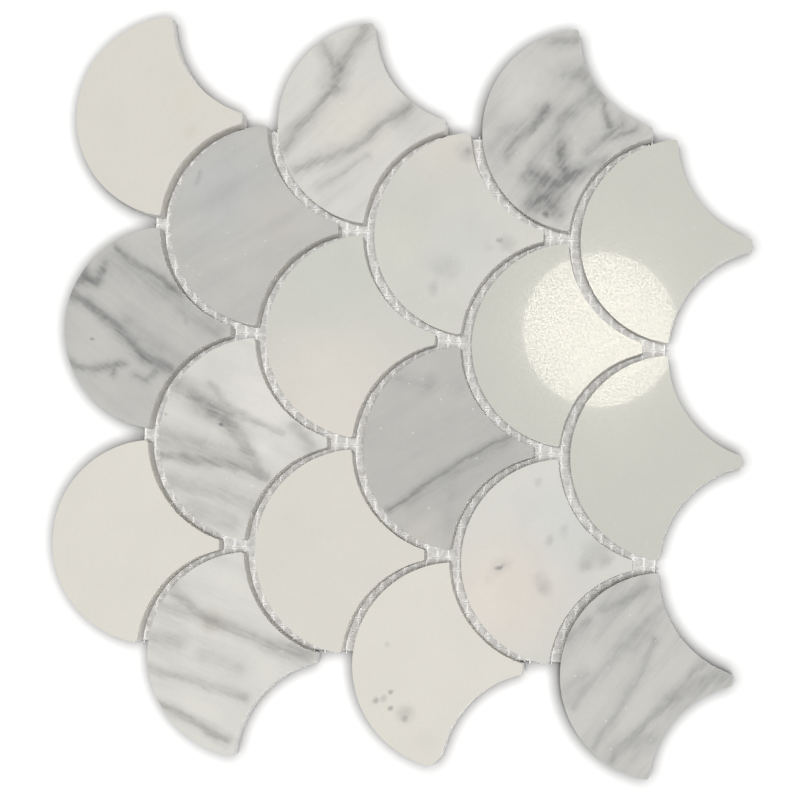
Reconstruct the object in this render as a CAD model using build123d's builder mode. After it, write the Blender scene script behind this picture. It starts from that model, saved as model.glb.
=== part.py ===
"""Marble fan mosaic sheet: polished fish-scale stones glued to a square glass-fibre net, lying flat.

+Z is up, with the polished faces on top. The round heads face -X and the blunt tails point to +X.
The origin is under the middle of the sheet, level with the net's underside. Sizes are in millimetres.
"""

import os

from build123d import *

# One stone: a round head, two coves behind its horns, and a blunt tail.
fan_width = 75.2
tail_reach = 24.9  # from the head's centre to the end of the tail
stone_thickness = 12.0
arris = 0.4  # narrow bevel round the polished face
clipped_fan = "fan_d3"  # this stone has lost the tip of its lower horn
horn_clip = 3.6

# How the stones nest: a cove follows the head of a neighbour in the next column.
cove_joint = 1.5  # what the cove's radius has over the head's
cove_reach = 35.25  # from the head's centre along to the centres of its coves
column_slack = 2.8  # moves the next column further on, which opens the joint at the neck
row_gap = 4.0  # between two horns of a column

# The sheet: every second column is shifted by half a row.
columns = 6
rows = 3

# The net: one flat layer of threads each way, centred under the outline, the stones on the upper one.
net_mesh = 4.0
weft_width = 0.9
warp_width = 0.7
thread_thickness = 0.25
net_side_lap = 2.1  # wider than the span of the head centres by this much on each side
net_end_inset = 1.8  # and shorter than their span by this much at each end

# What follows from these.
head_radius = fan_width / 2
cove_radius = head_radius + cove_joint
row_pitch = fan_width + row_gap
column_pitch = cove_reach + column_slack
grid_width = (columns - 1) * column_pitch
grid_height = (rows - 0.5) * row_pitch
grid_shift = (head_radius - tail_reach) / 2  # puts the middle of the outline, heads to tails, at X 0
net_width = grid_width + 2 * net_side_lap
net_height = grid_height - 2 * net_end_inset
weft_count = int(net_width / net_mesh) + 1
warp_count = int(net_height / net_mesh) + 1
stone_base = 2 * thread_thickness

os.makedirs("parts", exist_ok=True)

# The stones, named by column from the head side and by row from +Y.
for column in range(columns):
    for row in range(rows):
        name = f"fan_{chr(ord('a') + column)}{row + 1}"
        x = grid_shift + column * column_pitch - grid_width / 2
        y = grid_height / 2 - (row + column % 2 / 2) * row_pitch
        with BuildPart() as fan:
            with BuildSketch(Plane((x, y, stone_base))):
                Circle(head_radius)
                with Locations((cove_reach, row_pitch / 2), (cove_reach, -row_pitch / 2)):
                    Circle(cove_radius, mode=Mode.SUBTRACT)
                with Locations((tail_reach, 0)):
                    Rectangle(fan_width, fan_width, align=(Align.MIN, Align.CENTER), mode=Mode.SUBTRACT)
            extrude(amount=stone_thickness)
            if name == clipped_fan:
                chamfer(fan.edges().filter_by(Axis.Z).sort_by(Axis.Y)[0], horn_clip)
            chamfer(fan.faces().sort_by(Axis.Z)[-1].edges(), arris)
        fan.part.label = name
        export_step(fan.part, f"parts/{name}.step")

# The lower layer of the net: flat weft threads that run along Y.
with BuildPart() as net_weft:
    with GridLocations(net_mesh, net_mesh, weft_count, 1):
        Box(weft_width, net_height, thread_thickness, align=(Align.CENTER, Align.CENTER, Align.MIN))
net_weft.part.label = "net_weft"
export_step(net_weft.part, "parts/net_weft.step")

# The upper layer: narrower warp threads that cross them along X.
with BuildPart() as net_warp:
    with BuildSketch(Plane.XY.offset(thread_thickness)):
        with GridLocations(net_mesh, net_mesh, 1, warp_count):
            Rectangle(net_width, warp_width)
    extrude(amount=thread_thickness)
net_warp.part.label = "net_warp"
export_step(net_warp.part, "parts/net_warp.step")
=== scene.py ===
"""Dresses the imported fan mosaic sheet: polished marble stones, a leno net and the glue between them.

The frame is the part's own, in metres: +Z up, round heads towards -X, tails towards +X. What is drawn on
a stone is in millimetres from the centre of its head.
"""

import logging
import math
import random
from dataclasses import dataclass, field, replace
from enum import Enum
from typing import Any, Iterable, Optional, Sequence, Union

import bmesh
import bpy
from mathutils import Matrix, Vector, noise

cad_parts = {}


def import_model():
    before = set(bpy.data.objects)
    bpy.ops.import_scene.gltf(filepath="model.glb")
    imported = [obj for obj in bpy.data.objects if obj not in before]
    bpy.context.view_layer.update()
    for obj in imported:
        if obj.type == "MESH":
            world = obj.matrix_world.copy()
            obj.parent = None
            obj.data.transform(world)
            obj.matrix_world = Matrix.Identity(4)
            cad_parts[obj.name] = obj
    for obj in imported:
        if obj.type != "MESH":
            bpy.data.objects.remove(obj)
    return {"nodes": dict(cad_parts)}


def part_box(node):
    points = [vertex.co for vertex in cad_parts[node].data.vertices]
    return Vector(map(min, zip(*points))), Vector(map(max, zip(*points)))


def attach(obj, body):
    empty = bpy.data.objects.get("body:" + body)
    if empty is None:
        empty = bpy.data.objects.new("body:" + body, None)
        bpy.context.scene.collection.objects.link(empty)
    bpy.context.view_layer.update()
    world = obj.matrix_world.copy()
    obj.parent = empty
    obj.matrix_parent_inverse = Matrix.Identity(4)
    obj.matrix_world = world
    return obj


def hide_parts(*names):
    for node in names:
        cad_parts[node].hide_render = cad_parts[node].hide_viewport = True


LOG = logging.getLogger("mosaic")
MM = 0.001
BODY = "root"
HAIR = 1e-6  # metres within which two heights count as one

Colour = tuple[float, float, float]
Point = tuple[float, float]
Pair = tuple[float, float]


class Tone(Enum):
    """The ground colours that the marble of this sheet comes in, as linear red, green and blue."""

    CREAM = (0.685, 0.662, 0.600)
    IVORY = (0.665, 0.655, 0.610)
    PEARL = (0.615, 0.608, 0.560)
    CELADON = (0.560, 0.560, 0.508)
    ASH = (0.530, 0.525, 0.500)


class Slot(Enum):
    """The material slots that the stones' marbles carry."""

    CREAM = "marble_cream"
    WHITE = "marble_white"
    GREY = "marble_grey"
    NET = "net_glass_fibre"


@dataclass(frozen=True)
class Vein:
    """A grey vein through a stone, drawn on its polished face.

    Attributes:
        points: The line that it follows, in millimetres from the head's centre.
        width: Millimetres from the line to where the grey has faded out.
        strength: How dark its middle is, from 0 to 1.
    """

    points: tuple[Point, ...]
    width: float
    strength: float


@dataclass(frozen=True)
class Spot:
    """A round grey fleck or a soft cloud.

    Attributes:
        at: Its middle, in millimetres from the head's centre.
        radius: Millimetres to where it has faded out.
        strength: How dark its middle is, from 0 to 1.
    """

    at: Point
    radius: float
    strength: float


@dataclass(frozen=True)
class Stain:
    """A soft patch of another ground colour.

    Attributes:
        at: Its middle, in millimetres from the head's centre.
        radius: Millimetres to where it has faded out.
        colour: The patch's own colour.
        amount: How much of that colour shows in its middle, from 0 to 1.
    """

    at: Point
    radius: float
    colour: Colour
    amount: float


@dataclass(frozen=True)
class Streaks:
    """Faint parallel bands in the bedding of the stone.

    Attributes:
        angle: The way they run, in degrees from +X.
        spacing: About how far apart they are, in millimetres.
        amount: How dark they get, from 0 to 1.
    """

    angle: float
    spacing: float
    amount: float


@dataclass(frozen=True)
class Marble:
    """How one stone's marble looks.

    Attributes:
        tone: Its ground colour.
        slot: Its material slot; not used.
        shade: Factor on the ground colour.
        cloud: How strong its wide, soft clouds are.
        waver: How far its veins wander from their lines, in millimetres.
        glitter: How many painted glints of bright crystals show, from 0 to 1.
        core: Share of a vein's width that its dark middle takes.
        veins: Its veins.
        spots: Its flecks.
        stains: Its patches of another colour.
        streaks: Its bands, if it has any.
    """

    tone: Tone
    slot: Slot
    shade: float = 1.0
    cloud: float = 0.05
    waver: float = 2.0
    glitter: float = 0.15
    core: float = 0.30
    veins: tuple[Vein, ...] = ()
    spots: tuple[Spot, ...] = ()
    stains: tuple[Stain, ...] = ()
    streaks: Optional[Streaks] = None


STONES: dict[str, Marble] = {
    "fan_a1": Marble(
        Tone.CREAM, Slot.CREAM, shade=0.955, cloud=0.03,
        stains=(
            Stain((3, 5), 7, (0.62, 0.58, 0.48), 0.22),
            Stain((6, -6), 4, (0.59, 0.54, 0.43), 0.32),
        ),
    ),
    "fan_a2": Marble(
        Tone.ASH, Slot.GREY, shade=0.985, cloud=0.12, waver=2.6, core=0.48,
        veins=(
            Vein(((-20, 28), (-10, 22), (0, 17), (5, 14)), 4.0, 0.55),
            Vein(((-20, 24), (-8, 18), (3, 12)), 12.0, 0.26),
            Vein(((-36, 11.5), (-28, 7), (-22, 3)), 5.0, 0.62),
            Vein(((-20, 1), (-12, -5), (-6, -11), (3, -15)), 5.2, 0.60),
            Vein(((-14, 1), (-4, -7), (6, -11)), 11.0, 0.22),
            Vein(((-32, 21), (-30, 17), (-26, 16), (-24, 22)), 4.4, 0.52),
            Vein(((-37, 14), (-31, 17)), 4.5, 0.45),
            Vein(((-37, -13), (-32, -16), (-26, -17), (-20, -15), (-15, -14)), 3.6, 0.48),
            Vein(((-17, -14), (-18, -18)), 3.0, 0.42),
            Vein(((-10, -18), (-6, -20), (-2, -16)), 3.6, 0.40),
            Vein(((6, 8), (20, 0)), 9.0, 0.28),
        ),
        spots=(
            Spot((-27.5, -5), 1.1, 0.75),
            Spot((8, 3), 2.0, 0.25),
            Spot((-30, 18), 11.0, 0.14),
        ),
        streaks=Streaks(-34, 5, 0.05),
    ),
    "fan_a3": Marble(Tone.CREAM, Slot.CREAM, shade=0.995, cloud=0.03),
    "fan_b1": Marble(
        Tone.ASH, Slot.GREY, shade=0.945, cloud=0.10, glitter=0.5,
        veins=(Vein(((-27.5, 19), (-28.5, 15)), 1.8, 0.24),),
        stains=(
            Stain((-18, 12), 26, (0.475, 0.482, 0.49), 0.55),
            Stain((2, 2), 20, (0.53, 0.51, 0.47), 0.75),
        ),
        streaks=Streaks(35, 9, 0.06),
    ),
    "fan_b2": Marble(
        Tone.IVORY, Slot.WHITE, shade=0.985, cloud=0.10, waver=3.0, glitter=0.5, core=0.55,
        veins=(
            Vein(((-32, 19), (-17, 10)), 8.0, 0.44),
            Vein(((-18, 11), (-11, 6)), 6.5, 0.40),
            Vein(((-12, 8), (-6, -4), (1, -11)), 7.0, 0.38),
            Vein(((-20, 20), (-12, 12), (-6, 8), (8, 3)), 3.2, 0.28),
            Vein(((-37, 0), (-20, -5), (-6, -9)), 10.0, 0.32),
            Vein(((-37, -7), (-28, -7), (-18, -9), (4, -13)), 4.6, 0.42),
            Vein(((-34, -16), (-14, -20), (0, -25)), 9.0, 0.26),
            Vein(((-26, -27), (-8, -31)), 8.0, 0.26),
            Vein(((12, 6), (19, -2)), 6.0, 0.32),
        ),
        spots=(Spot((-14, 5), 1.3, 0.50), Spot((-35, 8), 1.2, 0.40)),
        stains=(
            Stain((4, 18), 26, (0.72, 0.705, 0.66), 0.60),
            Stain((1, -3), 5.5, (0.74, 0.73, 0.69), 0.60),
        ),
        streaks=Streaks(-22, 6, 0.05),
    ),
    "fan_b3": Marble(
        Tone.IVORY, Slot.GREY, shade=1.01, cloud=0.07, waver=2.4, glitter=0.4, core=0.50,
        veins=(
            Vein(((-30, 22), (-21, 15), (-15, 12), (-6, 9), (4, 5), (14, 3), (23, 0)), 6.0, 0.34),
            Vein(((-20, 14), (-6, 9)), 4.6, 0.22),
            Vein(((-35, 16), (-24, 14)), 6.0, 0.28),
            Vein(((-38, 6), (-26, 3)), 7.0, 0.26),
            Vein(((-38, -6), (-26, -9), (-11, -13), (0, -16)), 4.4, 0.30),
            Vein(((-32, -20), (-22, -24), (-11, -29), (-6, -31)), 4.4, 0.36),
            Vein(((-17, -1), (-4, -5)), 9.0, 0.20),
            Vein(((6, 3), (20, -1)), 7.0, 0.20),
        ),
        stains=(Stain((-14, 12), 6, (0.52, 0.46, 0.39), 0.50),),
        streaks=Streaks(-20, 6, 0.06),
    ),
    "fan_c1": Marble(
        Tone.IVORY, Slot.WHITE, shade=0.955, cloud=0.06, waver=2.8, glitter=0.4, core=0.34,
        veins=(
            Vein(((-35, -10), (-28, -1), (-22, 6), (-17, 13)), 5.4, 0.46),
            Vein(((-18, 14), (-16, 21)), 8.5, 0.46),
            Vein(((-18, 19), (-22, 29)), 5.5, 0.40),
            Vein(((-15, 21), (-11, 28), (-7, 35)), 6.5, 0.44),
            Vein(((-30, -19), (-21, -14), (-11, -10), (-5, -6), (2, 0), (11, 8)), 5.6, 0.40),
            Vein(((-4, -5), (9, 7)), 7.0, 0.24),
            Vein(((-21, -25), (-14, -19), (-4, -12)), 4.0, 0.24),
        ),
        spots=(Spot((12, 2), 12.0, 0.12),),
        stains=(Stain((-10, 0), 20, (0.70, 0.665, 0.59), 0.48),),
        streaks=Streaks(45, 7, 0.06),
    ),
    "fan_c2": Marble(
        Tone.PEARL, Slot.WHITE, shade=0.96, cloud=0.04, glitter=0.4,
        stains=(
            Stain((-12, -26), 42, (0.685, 0.645, 0.585), 0.85),
            Stain((-14, 26), 32, (0.555, 0.57, 0.51), 0.75),
        ),
    ),
    "fan_c3": Marble(
        Tone.CREAM, Slot.CREAM, shade=0.965, cloud=0.03,
        stains=(Stain((-28, 4), 22, (0.62, 0.625, 0.55), 0.40),),
    ),
    "fan_d1": Marble(
        Tone.PEARL, Slot.WHITE, shade=0.98, cloud=0.07, waver=4.0, glitter=0.3,
        spots=(
            Spot((-5, 30), 5.5, 0.26),
            Spot((-5.2, 30.6), 2.2, 0.22),
            Spot((9.5, -2), 1.5, 0.50),
            Spot((12, -3), 4.5, 0.24),
            Spot((-10, -13), 8.0, 0.15),
            Spot((-15, -20.5), 3.4, 0.24),
            Spot((6, -5), 3.0, 0.12),
        ),
        stains=(
            Stain((-27, -2), 18, (0.605, 0.612, 0.54), 0.60),
            Stain((-4, -6), 22, (0.585, 0.588, 0.57), 0.60),
            Stain((-12, 31), 16, (0.66, 0.625, 0.565), 0.60),
        ),
    ),
    "fan_d2": Marble(
        Tone.ASH, Slot.GREY, shade=0.905, cloud=0.09, waver=1.8, glitter=0.6,
        veins=(
            Vein(((-27, -24), (-16, -15), (-8, -10), (0, -4), (8, 1), (16, 5)), 3.0, 0.52),
            Vein(((-20, -20), (-8, -12), (4, -5), (14, 2)), 8.0, 0.26),
            Vein(((-26, 25), (-15, 22)), 6.0, 0.24),
            Vein(((-4, -8), (-5, -30)), 9.0, 0.14),
        ),
        spots=(Spot((-14, 25), 4.5, 0.18), Spot((-4, 22), 6.0, 0.14), Spot((-27, -24), 2.4, 0.20)),
        stains=(Stain((-16, -32), 16, (0.55, 0.52, 0.475), 0.50),),
        streaks=Streaks(32, 8, 0.05),
    ),
    "fan_d3": Marble(
        Tone.CREAM, Slot.CREAM, shade=1.0, cloud=0.03, waver=2.2,
        spots=(
            Spot((-22.8, -10.6), 1.4, 0.55),
            Spot((-28.2, -14), 1.8, 0.50),
            Spot((-25.4, -13.2), 2.2, 0.28),
            Spot((-22.5, -16.8), 1.7, 0.62),
            Spot((-17, -18.5), 5.0, 0.26),
            Spot((-17.2, -20.5), 1.8, 0.34),
            Spot((-25, 6), 1.4, 0.18),
            Spot((-9, -28), 6.0, 0.05),
        ),
    ),
    "fan_e1": Marble(
        Tone.ASH, Slot.GREY, shade=1.05, cloud=0.14, waver=3.6, glitter=0.4, core=0.40,
        veins=(
            Vein(((-19, -17), (-8, -20), (-5, -16)), 6.0, 0.30),
            Vein(((-20, -28), (-12, -25), (-8, -31)), 5.0, 0.32),
            Vein(((-9, -5), (-8, -14)), 6.5, 0.40),
            Vein(((-6, -18), (8, -11)), 6.0, 0.42),
            Vein(((-28, -10), (-20, 1), (-13, 8)), 4.6, 0.44),
            Vein(((-21, -3), (-13, 8)), 2.6, 0.28),
            Vein(((-30, -2), (-18, 6)), 8.0, 0.22),
            Vein(((-22, -18), (-12, -2), (-4, 6)), 3.6, 0.24),
            Vein(((6, 11), (7, 6), (9, 2)), 3.6, 0.48),
            Vein(((-8, 20), (-3, 22), (2, 15)), 8.0, 0.34),
            Vein(((2, -8), (8, -3), (14, 3)), 3.6, 0.34),
            Vein(((11, -3), (19, 2)), 3.4, 0.40),
            Vein(((-13, 33), (-5, 34)), 6.0, 0.32),
            Vein(((-8, 4), (4, 14)), 7.0, 0.24),
            Vein(((-34, -8), (-26, 0)), 7.0, 0.22),
        ),
        spots=(
            Spot((-12, -31), 1.8, 0.50),
            Spot((-13, -22), 14.0, 0.18),
            Spot((-17, -20), 8.5, 0.32),
            Spot((-8, -19), 8.5, 0.34),
            Spot((-17, -28), 7.5, 0.36),
            Spot((-9, -27), 8.0, 0.32),
            Spot((-9, -10), 6.5, 0.30),
            Spot((-2, -16), 6.5, 0.28),
        ),
        stains=(Stain((-25, 15), 14, (0.66, 0.65, 0.59), 0.45),),
        streaks=Streaks(52, 5, 0.09),
    ),
    "fan_e2": Marble(Tone.CELADON, Slot.WHITE, shade=0.965, cloud=0.03, glitter=0.3),
    "fan_e3": Marble(
        Tone.IVORY, Slot.WHITE, shade=0.955, cloud=0.06, waver=4.5, glitter=0.3,
        stains=(
            Stain((-22, -12), 32, (0.71, 0.655, 0.59), 0.85),
            Stain((4, 16), 26, (0.605, 0.615, 0.60), 0.65),
        ),
        spots=(
            Spot((-24, -2.5), 1.9, 0.62),
            Spot((-24, -2.5), 5.5, 0.18),
            Spot((-7, -7.5), 5.0, 0.20),
            Spot((-6.5, -11), 4.0, 0.18),
            Spot((8, -0.5), 4.0, 0.28),
            Spot((12, 4), 7.0, 0.24),
            Spot((-6, 7), 3.2, 0.26),
            Spot((-10.5, 28), 2.6, 0.22),
            Spot((0, 11), 3.8, 0.16),
            Spot((15, 1), 3.6, 0.20),
            Spot((-27, -8), 3.0, 0.10),
        ),
    ),
    "fan_f1": Marble(Tone.CELADON, Slot.WHITE, shade=0.985, cloud=0.03, glitter=0.3),
    "fan_f2": Marble(Tone.CELADON, Slot.WHITE, shade=0.985, cloud=0.03, glitter=0.3),
    "fan_f3": Marble(
        Tone.ASH, Slot.GREY, shade=1.05, cloud=0.10, waver=2.8, glitter=0.5, core=0.40,
        veins=(
            Vein(((-22, 23), (-13, 28), (-8, 32)), 4.6, 0.30),
            Vein(((-36, 12), (-28, 19)), 5.0, 0.26),
            Vein(((-33, -12), (-22, 2), (-12, 14), (-1, 26)), 4.6, 0.26),
            Vein(((-12, 10), (-4, 20)), 9.0, 0.24),
            Vein(((-24, -27), (-18, -16), (-12, -5), (-7, 5), (-4, 14)), 3.6, 0.28),
            Vein(((-17, -31), (-12, -24), (1, -10), (9, 0), (14, 6)), 4.4, 0.30),
            Vein(((2, -8), (22, 2)), 9.0, 0.28),
            Vein(((-16, -28), (-4, -22)), 8.0, 0.24),
            Vein(((-36, -8), (-28, 0)), 5.0, 0.20),
        ),
        streaks=Streaks(55, 5, 0.10),
    ),
}


class Wire:
    """An output of a shader graph. Arithmetic on it adds Math nodes."""

    def __init__(self, graph: "Graph", socket: bpy.types.NodeSocket) -> None:
        """Keeps the graph and the socket.

        Args:
            graph: The graph that the socket is in.
            socket: The node output that this stands for.
        """
        self.graph = graph
        self.socket = socket

    def _math(self, operation: str, first: Any, second: Any, clamp: bool = False) -> "Wire":
        """Adds one Math node.

        Args:
            operation: The node's operation.
            first: Its first value or wire.
            second: Its second value or wire.
            clamp: Whether the result is kept between 0 and 1.

        Returns:
            The node's result.
        """
        settings = {"operation": operation, "use_clamp": clamp}
        return self.graph.node("ShaderNodeMath", settings, {0: first, 1: second})

    def __add__(self, other: Any) -> "Wire":
        """This plus other."""
        return self._math("ADD", self, other)

    def __radd__(self, other: Any) -> "Wire":
        """Other plus this."""
        return self._math("ADD", other, self)

    def __sub__(self, other: Any) -> "Wire":
        """This minus other."""
        return self._math("SUBTRACT", self, other)

    def __rsub__(self, other: Any) -> "Wire":
        """Other minus this."""
        return self._math("SUBTRACT", other, self)

    def __mul__(self, other: Any) -> "Wire":
        """This times other."""
        return self._math("MULTIPLY", self, other)

    def __rmul__(self, other: Any) -> "Wire":
        """Other times this."""
        return self._math("MULTIPLY", other, self)

    def __gt__(self, other: Any) -> "Wire":
        """1 where this is more than other, and otherwise 0."""
        return self._math("GREATER_THAN", self, other)

    def __lt__(self, other: Any) -> "Wire":
        """1 where this is less than other, and otherwise 0."""
        return self._math("LESS_THAN", self, other)

    def clamped(self) -> "Wire":
        """This, kept between 0 and 1."""
        return self._math("MULTIPLY", self, 1.0, clamp=True)

    def least(self, other: Any) -> "Wire":
        """The smaller of this and other."""
        return self._math("MINIMUM", self, other)

    def most(self, other: Any) -> "Wire":
        """The larger of this and other."""
        return self._math("MAXIMUM", self, other)


class Graph:
    """A material's or the world's node tree, filled through one method."""

    def __init__(self, tree: bpy.types.NodeTree) -> None:
        """Clears the tree.

        Args:
            tree: The node tree to fill.
        """
        self.tree = tree
        tree.nodes.clear()

    @classmethod
    def of_material(cls, name: str) -> tuple["Graph", bpy.types.Material]:
        """Makes a material with an empty graph.

        Args:
            name: The material's name.

        Returns:
            The graph and the material.
        """
        material = bpy.data.materials.new(name)
        material.use_nodes = True
        return cls(material.node_tree), material

    def node(
        self,
        kind: str,
        settings: Optional[dict[str, Any]] = None,
        inputs: Optional[dict[Union[str, int], Any]] = None,
        output: Union[str, int] = 0,
    ) -> Wire:
        """Adds a node.

        Args:
            kind: The node's type.
            settings: Properties of the node, which are set first.
            inputs: Values or wires for its sockets, by name or number.
            output: The output to return, by name or number.

        Returns:
            The chosen output.
        """
        made = self.tree.nodes.new(kind)
        for key, value in (settings or {}).items():
            setattr(made, key, value)
        for key, value in (inputs or {}).items():
            if isinstance(value, Wire):
                self.tree.links.new(value.socket, made.inputs[key])
            else:
                made.inputs[key].default_value = value
        return Wire(self, made.outputs[output] if len(made.outputs) else made.inputs[0])

    def vector(self, operation: str, first: Any, second: Any, output: Union[str, int] = 0) -> Wire:
        """Adds a Vector Math node of two vectors.

        Args:
            operation: The node's operation.
            first: Its first vector or wire.
            second: Its second vector or wire.
            output: Which output to return.

        Returns:
            The node's result.
        """
        return self.node("ShaderNodeVectorMath", {"operation": operation}, {0: first, 1: second}, output)

    def scaled(self, vector: Any, factor: Any) -> Wire:
        """A vector or a colour times a number or a wire."""
        return self.node("ShaderNodeVectorMath", {"operation": "SCALE"}, {0: vector, "Scale": factor})

    def place_mm(self) -> Wire:
        """The point on the sheet, in millimetres."""
        return self.scaled(self.node("ShaderNodeTexCoord", output="Object"), 1.0 / MM)

    def noise(
        self, at: Wire, scale: float, detail: float = 2.0, rough: float = 0.5, output: str = "Fac"
    ) -> Wire:
        """Adds a noise texture.

        Args:
            at: The point to read it at.
            scale: Features for each unit of that point.
            detail: Octaves of finer noise.
            rough: How strong each finer octave is.
            output: Fac for a number, Color for three.

        Returns:
            The noise, about 0.5.
        """
        inputs = {"Vector": at, "Scale": scale, "Detail": detail, "Roughness": rough}
        return self.node("ShaderNodeTexNoise", {"noise_dimensions": "3D"}, inputs, output)

    def ramp(self, value: Wire, low: float, high: float) -> Wire:
        """Maps a number from low and high to 0 and 1, eased and clamped.

        Args:
            value: The number.
            low: What becomes 0.
            high: What becomes 1.

        Returns:
            The mapped number.
        """
        inputs = {"Value": value, "From Min": low, "From Max": high}
        return self.node("ShaderNodeMapRange", {"interpolation_type": "SMOOTHSTEP"}, inputs)

    def mix(self, factor: Any, first: Any, second: Any) -> Wire:
        """Mixes two colours.

        Args:
            factor: How much of the second shows.
            first: The first colour or wire.
            second: The second colour or wire.

        Returns:
            The mixed colour.
        """
        settings = {"data_type": "RGBA", "clamp_factor": True}
        inputs = {0: factor, 6: rgba(first), 7: rgba(second)}
        return self.node("ShaderNodeMix", settings, inputs, 2)

    def bump(self, height: Wire, depth: float) -> Wire:
        """Tilts the normal by a relief.

        Args:
            height: The relief, from 0 to 1.
            depth: How deep it is, in metres.

        Returns:
            The tilted normal.
        """
        return self.node("ShaderNodeBump", None, {"Strength": 1.0, "Distance": depth, "Height": height})

    def principled(self, inputs: dict[Union[str, int], Any]) -> None:
        """Adds the surface shader and the output.

        Args:
            inputs: Values and wires for the shader's sockets.
        """
        shader = self.node("ShaderNodeBsdfPrincipled", None, inputs)
        self.node("ShaderNodeOutputMaterial", None, {"Surface": shader})


def rgba(colour: Any) -> Any:
    """A colour with its alpha, or a wire as it is.

    Args:
        colour: Three numbers, or a wire.

    Returns:
        Four numbers, or the wire.
    """
    return colour if isinstance(colour, Wire) else (*colour, 1.0)


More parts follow.
